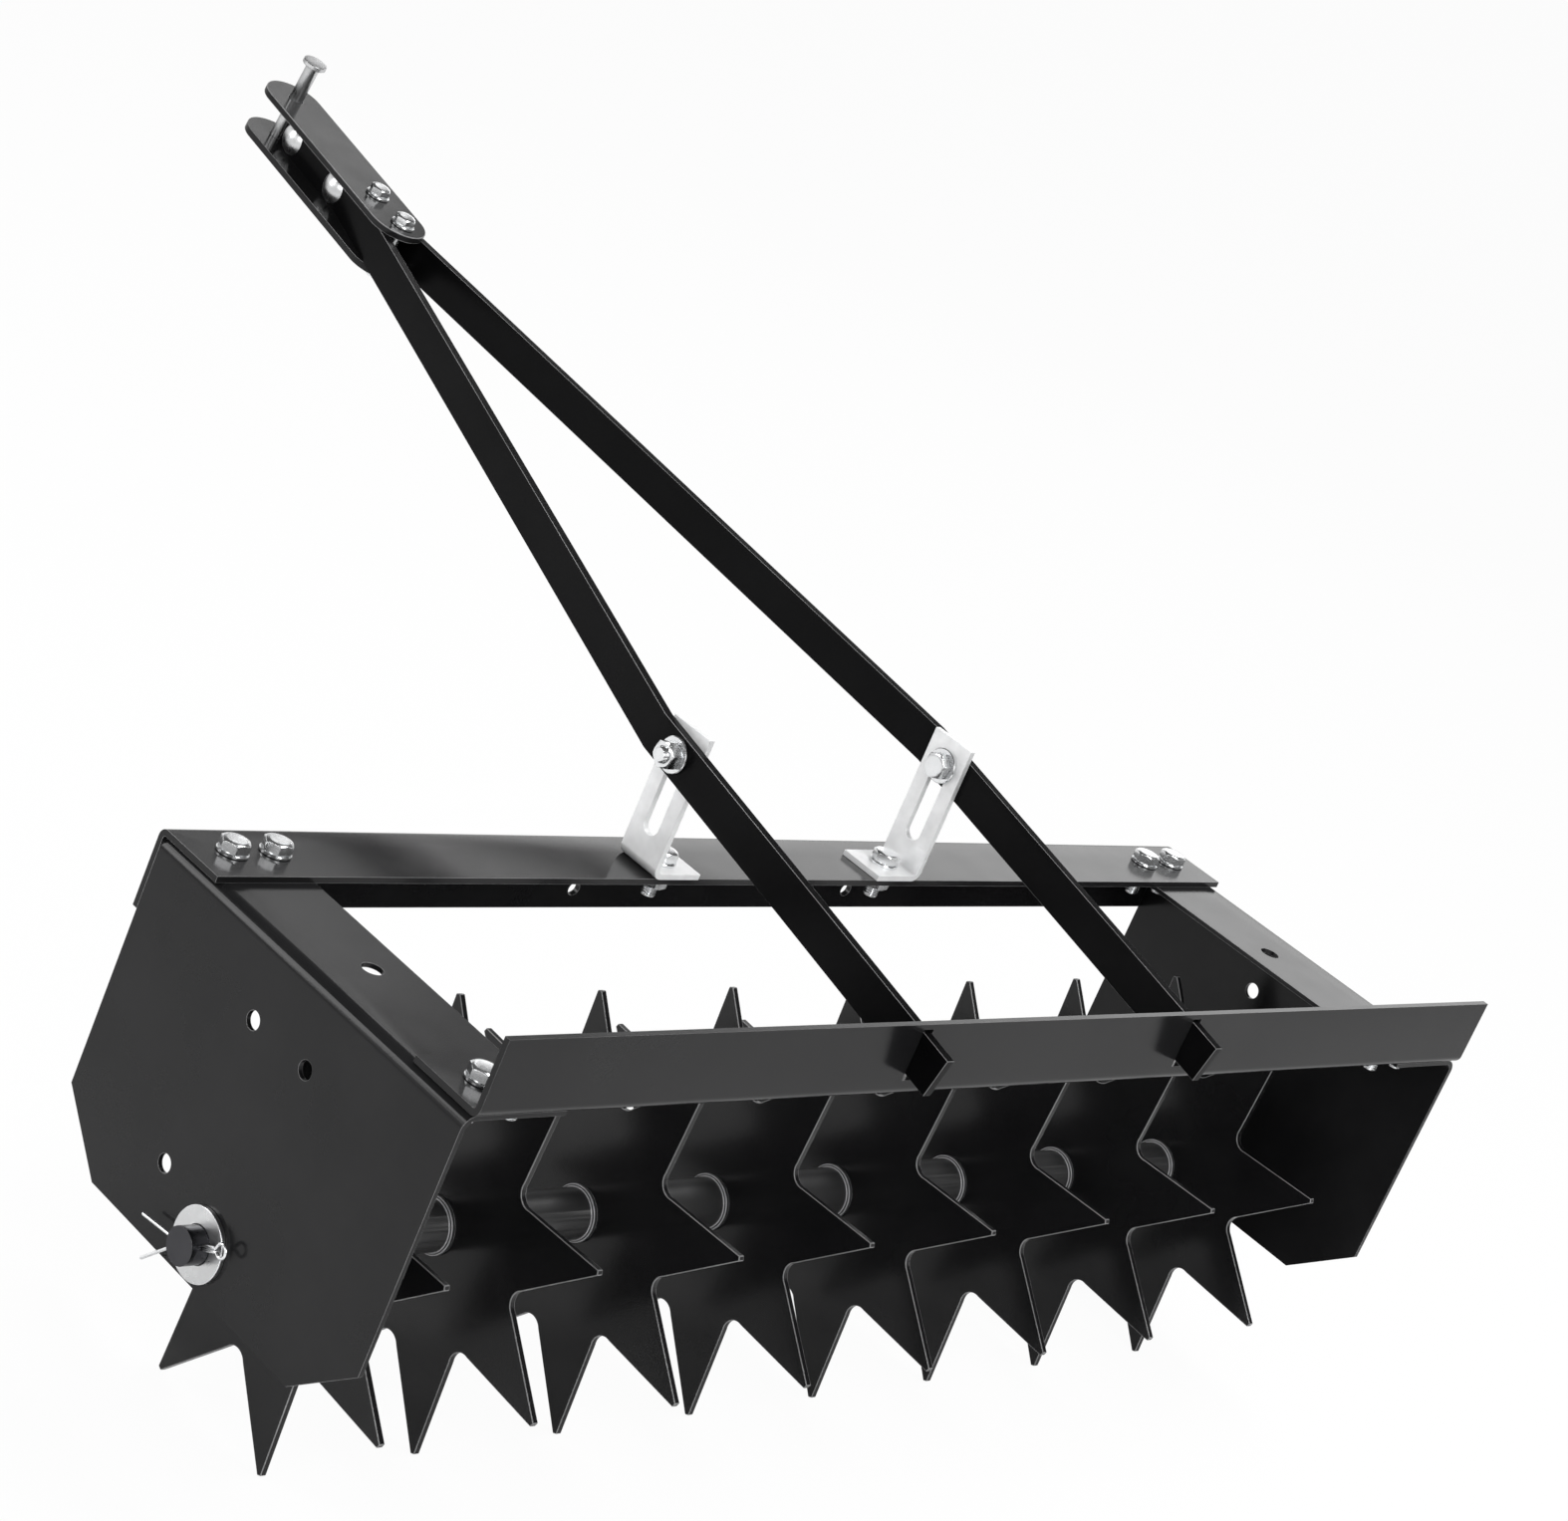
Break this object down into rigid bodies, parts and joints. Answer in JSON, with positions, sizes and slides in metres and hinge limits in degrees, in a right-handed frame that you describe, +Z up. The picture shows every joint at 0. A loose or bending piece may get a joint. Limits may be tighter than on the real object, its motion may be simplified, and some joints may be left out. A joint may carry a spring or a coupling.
{
  "type": "lawn aerator",
  "caption": "Towed spike aerator with star wheels on a cross axle, bent end plates, steel angles, and a tilting V drawbar with a drop-pin hitch.",
  "frame": {"origin": "on the ground, under the middle of the whole machine, midway between the tail of the drawbar and the front of the hitch", "axes": "+X to the right along the axle as seen from behind, +Y forwards to the hitch, +Z up; at rest the frame is level, each wheel stands on two spikes and the drawbar is tilted fully up"},
  "size_m": [0.929, 0.9744, 0.5663],
  "materials": {
    "painted_steel": "semi-gloss",
    "zinc_plated_steel": "satin",
    "dark_steel": "semi-gloss"
  },
  "bodies": {
    "frame": {"left_end_plate": "painted_steel", "right_end_plate": "painted_steel", "rear_cross_angle": "painted_steel", "front_cross_angle": "painted_steel", "frame_bolts": "zinc_plated_steel", "frame_washers": "zinc_plated_steel", "frame_nuts": "zinc_plated_steel", "axle": "dark_steel", "axle_washer_left": "zinc_plated_steel", "axle_washer_right": "zinc_plated_steel", "cotter_pin_left": "zinc_plated_steel", "cotter_pin_right": "zinc_plated_steel", "end_spacer": "painted_steel", "slotted_bracket_left": "zinc_plated_steel", "slotted_bracket_right": "zinc_plated_steel", "bracket_bolts": "zinc_plated_steel", "bracket_washers": "zinc_plated_steel", "bracket_nuts": "zinc_plated_steel"},
    "wheel_1": {"star_wheel_1": "painted_steel", "hub_tube_1": "painted_steel"},
    "wheel_2": {"star_wheel_2": "painted_steel", "hub_tube_2": "painted_steel"},
    "wheel_3": {"star_wheel_3": "painted_steel", "hub_tube_3": "painted_steel"},
    "wheel_4": {"star_wheel_4": "painted_steel", "hub_tube_4": "painted_steel"},
    "wheel_5": {"star_wheel_5": "painted_steel", "hub_tube_5": "painted_steel"},
    "wheel_6": {"star_wheel_6": "painted_steel", "hub_tube_6": "painted_steel"},
    "wheel_7": {"star_wheel_7": "painted_steel", "hub_tube_7": "painted_steel"},
    "wheel_8": {"star_wheel_8": "painted_steel", "hub_tube_8": "painted_steel"},
    "drawbar": {"drawbar_strap_left": "painted_steel", "drawbar_strap_right": "painted_steel", "strap_bolts": "zinc_plated_steel", "strap_washers": "zinc_plated_steel", "strap_nuts": "zinc_plated_steel", "upper_hitch_plate": "painted_steel", "lower_hitch_plate": "painted_steel", "carriage_bolts": "zinc_plated_steel", "carriage_nuts": "zinc_plated_steel", "hitch_bolts": "zinc_plated_steel", "hitch_washers": "zinc_plated_steel", "hitch_nuts": "zinc_plated_steel"},
    "pin": {"hitch_pin": "zinc_plated_steel"}
  },
  "joints": [
    {"name": "wheel_1_spin", "type": "hinge", "parent": "frame", "child": "wheel_1", "pos_m": [0, -0.3209, 0.12253], "axis": [1, 0, 0], "continuous": true},
    {"name": "wheel_2_spin", "type": "hinge", "parent": "frame", "child": "wheel_2", "pos_m": [0, -0.3209, 0.12253], "axis": [1, 0, 0], "continuous": true},
    {"name": "wheel_3_spin", "type": "hinge", "parent": "frame", "child": "wheel_3", "pos_m": [0, -0.3209, 0.12253], "axis": [1, 0, 0], "continuous": true},
    {"name": "wheel_4_spin", "type": "hinge", "parent": "frame", "child": "wheel_4", "pos_m": [0, -0.3209, 0.12253], "axis": [1, 0, 0], "continuous": true},
    {"name": "wheel_5_spin", "type": "hinge", "parent": "frame", "child": "wheel_5", "pos_m": [0, -0.3209, 0.12253], "axis": [1, 0, 0], "continuous": true},
    {"name": "wheel_6_spin", "type": "hinge", "parent": "frame", "child": "wheel_6", "pos_m": [0, -0.3209, 0.12253], "axis": [1, 0, 0], "continuous": true},
    {"name": "wheel_7_spin", "type": "hinge", "parent": "frame", "child": "wheel_7", "pos_m": [0, -0.3209, 0.12253], "axis": [1, 0, 0], "continuous": true},
    {"name": "wheel_8_spin", "type": "hinge", "parent": "frame", "child": "wheel_8", "pos_m": [0, -0.3209, 0.12253], "axis": [1, 0, 0], "continuous": true},
    {"name": "drawbar_tilt", "type": "hinge", "parent": "frame", "child": "drawbar", "pos_m": [0, -0.4709, 0.3491], "axis": [1, 0, 0], "range_deg": [-11, 0]},
    {"name": "pin_lift", "type": "slide", "parent": "drawbar", "child": "pin", "axis": [0, -0.2053, 0.9787], "range_m": [-0.028, 0.032]}
  ]
}
